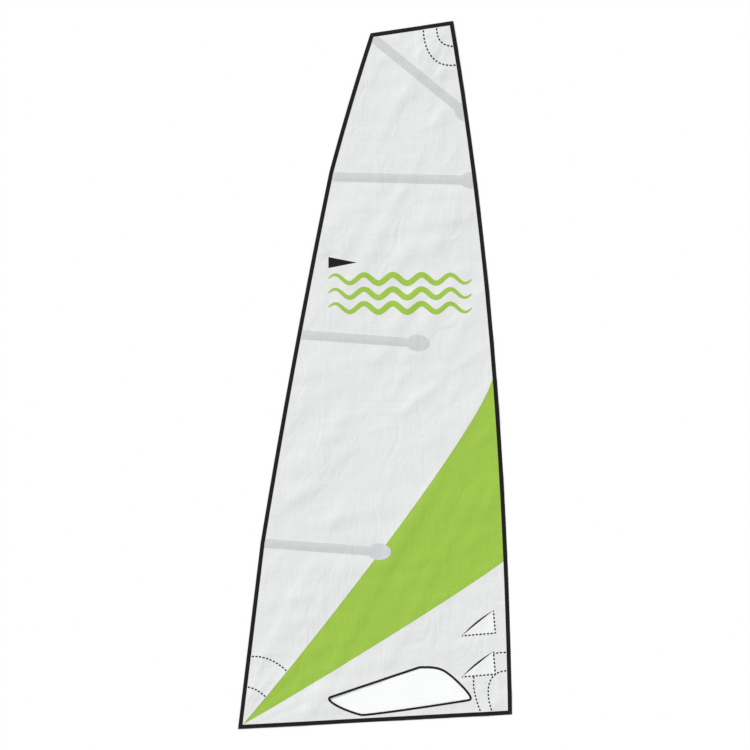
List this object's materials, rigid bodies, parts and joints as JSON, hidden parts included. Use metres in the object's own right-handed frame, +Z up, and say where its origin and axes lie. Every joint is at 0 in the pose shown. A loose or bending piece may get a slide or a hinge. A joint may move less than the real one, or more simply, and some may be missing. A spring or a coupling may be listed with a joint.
{
  "type": "dinghy mainsail",
  "caption": "Open dinghy mainsail lying flat and face up, with a curved green panel, clear window, batten pockets, folded edge tapes and corner patches.",
  "frame": {"origin": "under the middle of the sail's box, on the surface that it lies on", "axes": "+X towards the luff, +Y towards the head, +Z up, out of the face with the pockets and patches"},
  "size_m": [2.284, 5.9, 0.0062],
  "materials": {
    "grey_sailcloth": "crisp, smooth woven polyester with a low sheen",
    "green_sailcloth": "dyed woven polyester with a low sheen",
    "black_tape": "matt woven polyester edge tape and thread",
    "pocket_cloth": "smooth woven polyester, a shade darker than the panels",
    "white_cloth": "smooth woven polyester",
    "window_film": "clear flexible film, glossy",
    "green_insignia": "self-adhesive insignia cloth, satin",
    "black_insignia": "self-adhesive insignia cloth, satin"
  },
  "bodies": {
    "root": {"panel_upper": "grey_sailcloth", "panel_green": "green_sailcloth", "panel_lower": "grey_sailcloth", "window_film": "window_film", "window_tape": "black_tape", "tape_foot": "black_tape", "tape_luff": "black_tape", "tape_head": "black_tape", "tape_leech": "black_tape", "batten_pocket_1": "pocket_cloth", "batten_pocket_2": "pocket_cloth", "batten_pocket_3": "pocket_cloth", "batten_pocket_4": "pocket_cloth", "batten_end_1": "pocket_cloth", "batten_end_2": "pocket_cloth", "batten_end_3": "pocket_cloth", "batten_end_4": "pocket_cloth", "patch_head_outer": "grey_sailcloth", "patch_head_inner": "grey_sailcloth", "patch_clew_outer": "grey_sailcloth", "patch_clew_inner": "grey_sailcloth", "patch_tack_outer": "grey_sailcloth", "patch_tack_inner": "grey_sailcloth", "small_pocket_upper": "white_cloth", "small_pocket_lower": "white_cloth", "wave_1": "green_insignia", "wave_2": "green_insignia", "wave_3": "green_insignia", "pennant": "black_insignia"}
  },
  "joints": []
}
